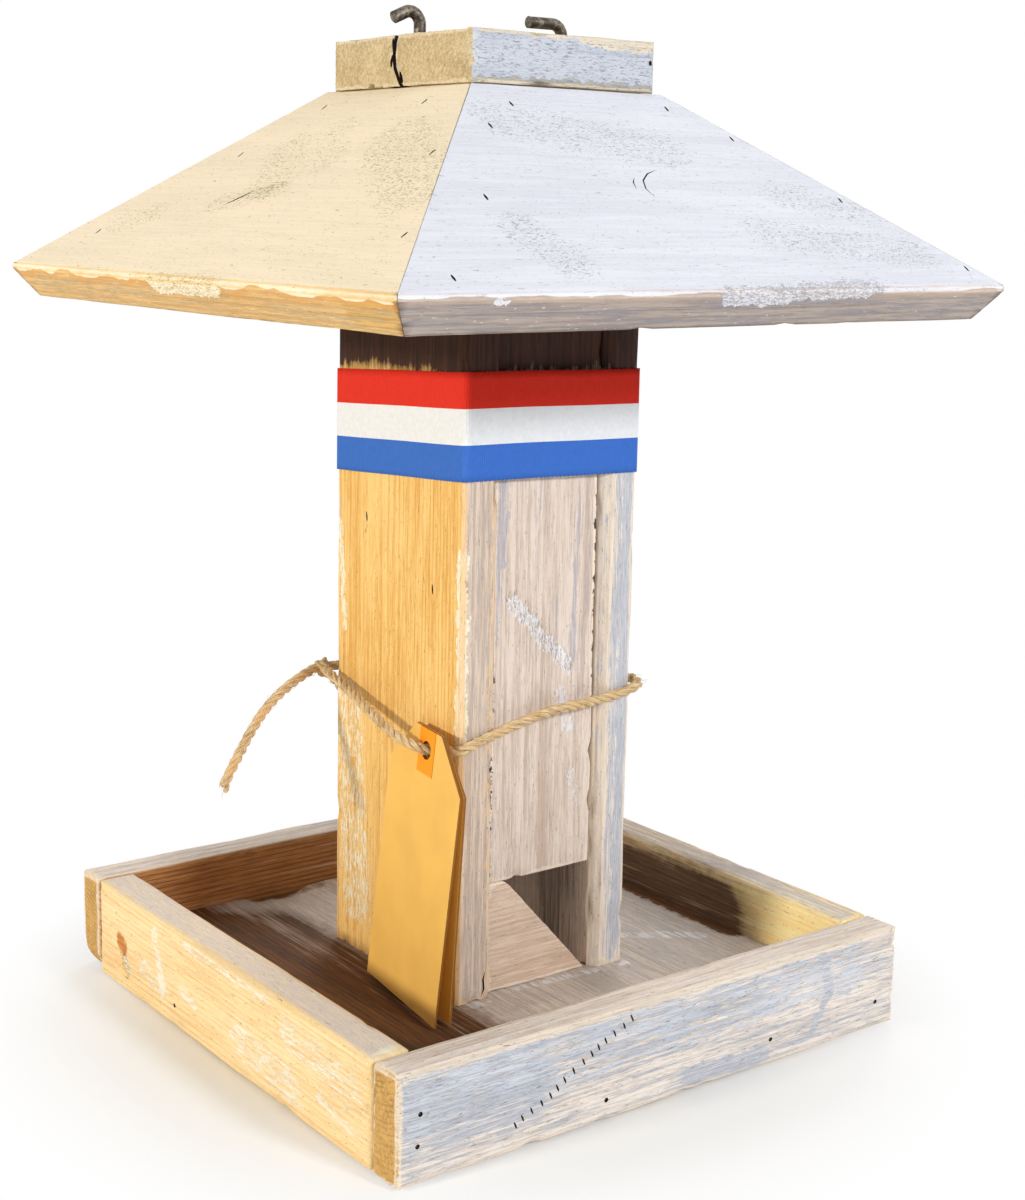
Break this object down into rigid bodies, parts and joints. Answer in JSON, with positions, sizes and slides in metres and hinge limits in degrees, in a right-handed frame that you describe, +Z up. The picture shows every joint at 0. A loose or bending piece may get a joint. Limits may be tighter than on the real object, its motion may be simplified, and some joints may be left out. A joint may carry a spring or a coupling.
{
  "type": "bird feeder",
  "caption": "Hanging bird feeder of reclaimed boards: a railed seed tray, a square hopper with low outlets, a hipped roof, a cap block with bent hooks, a ribbon and a card tag on twine.",
  "frame": {"origin": "middle of the tray's underside, on the surface it stands on", "axes": "+Z up; -Y is the front, where the seed wedge slopes down to the right; +X is to the right seen from the front"},
  "size_m": [0.2682, 0.2742, 0.3863],
  "materials": {
    "rail_wood": "weathered, flaking paint",
    "floor_wood": "weathered, rough sawn",
    "hopper_wood": "planed, worn paint at the edges",
    "panel_wood": "planed",
    "roof_wood": "whitewashed and worn",
    "cap_wood": "end grain and worn paint",
    "hook_steel": "dark, lightly rusted",
    "ribbon_fabric": "woven in three stripes",
    "tag_card": "uncoated card",
    "tag_patch_card": "uncoated paper",
    "jute": "twisted twine"
  },
  "bodies": {
    "root": {"tray_floor": "floor_wood", "tray_front_rail": "rail_wood", "tray_back_rail": "rail_wood", "tray_left_rail": "rail_wood", "tray_right_rail": "rail_wood", "hopper_left_wall": "hopper_wood", "hopper_right_wall": "hopper_wood", "hopper_front_panel": "panel_wood", "hopper_back_panel": "panel_wood", "seed_wedge": "panel_wood", "roof_front_board": "roof_wood", "roof_back_board": "roof_wood", "roof_left_board": "roof_wood", "roof_right_board": "roof_wood", "roof_cap": "cap_wood", "hook_left": "hook_steel", "hook_right": "hook_steel", "ribbon": "ribbon_fabric", "tag_front_leaf": "tag_card", "tag_back_leaf": "tag_card", "tag_patch": "tag_patch_card", "twine_loop": "jute", "twine_tail": "jute", "twine_short_tail": "jute", "twine_knot": "jute"}
  },
  "joints": []
}
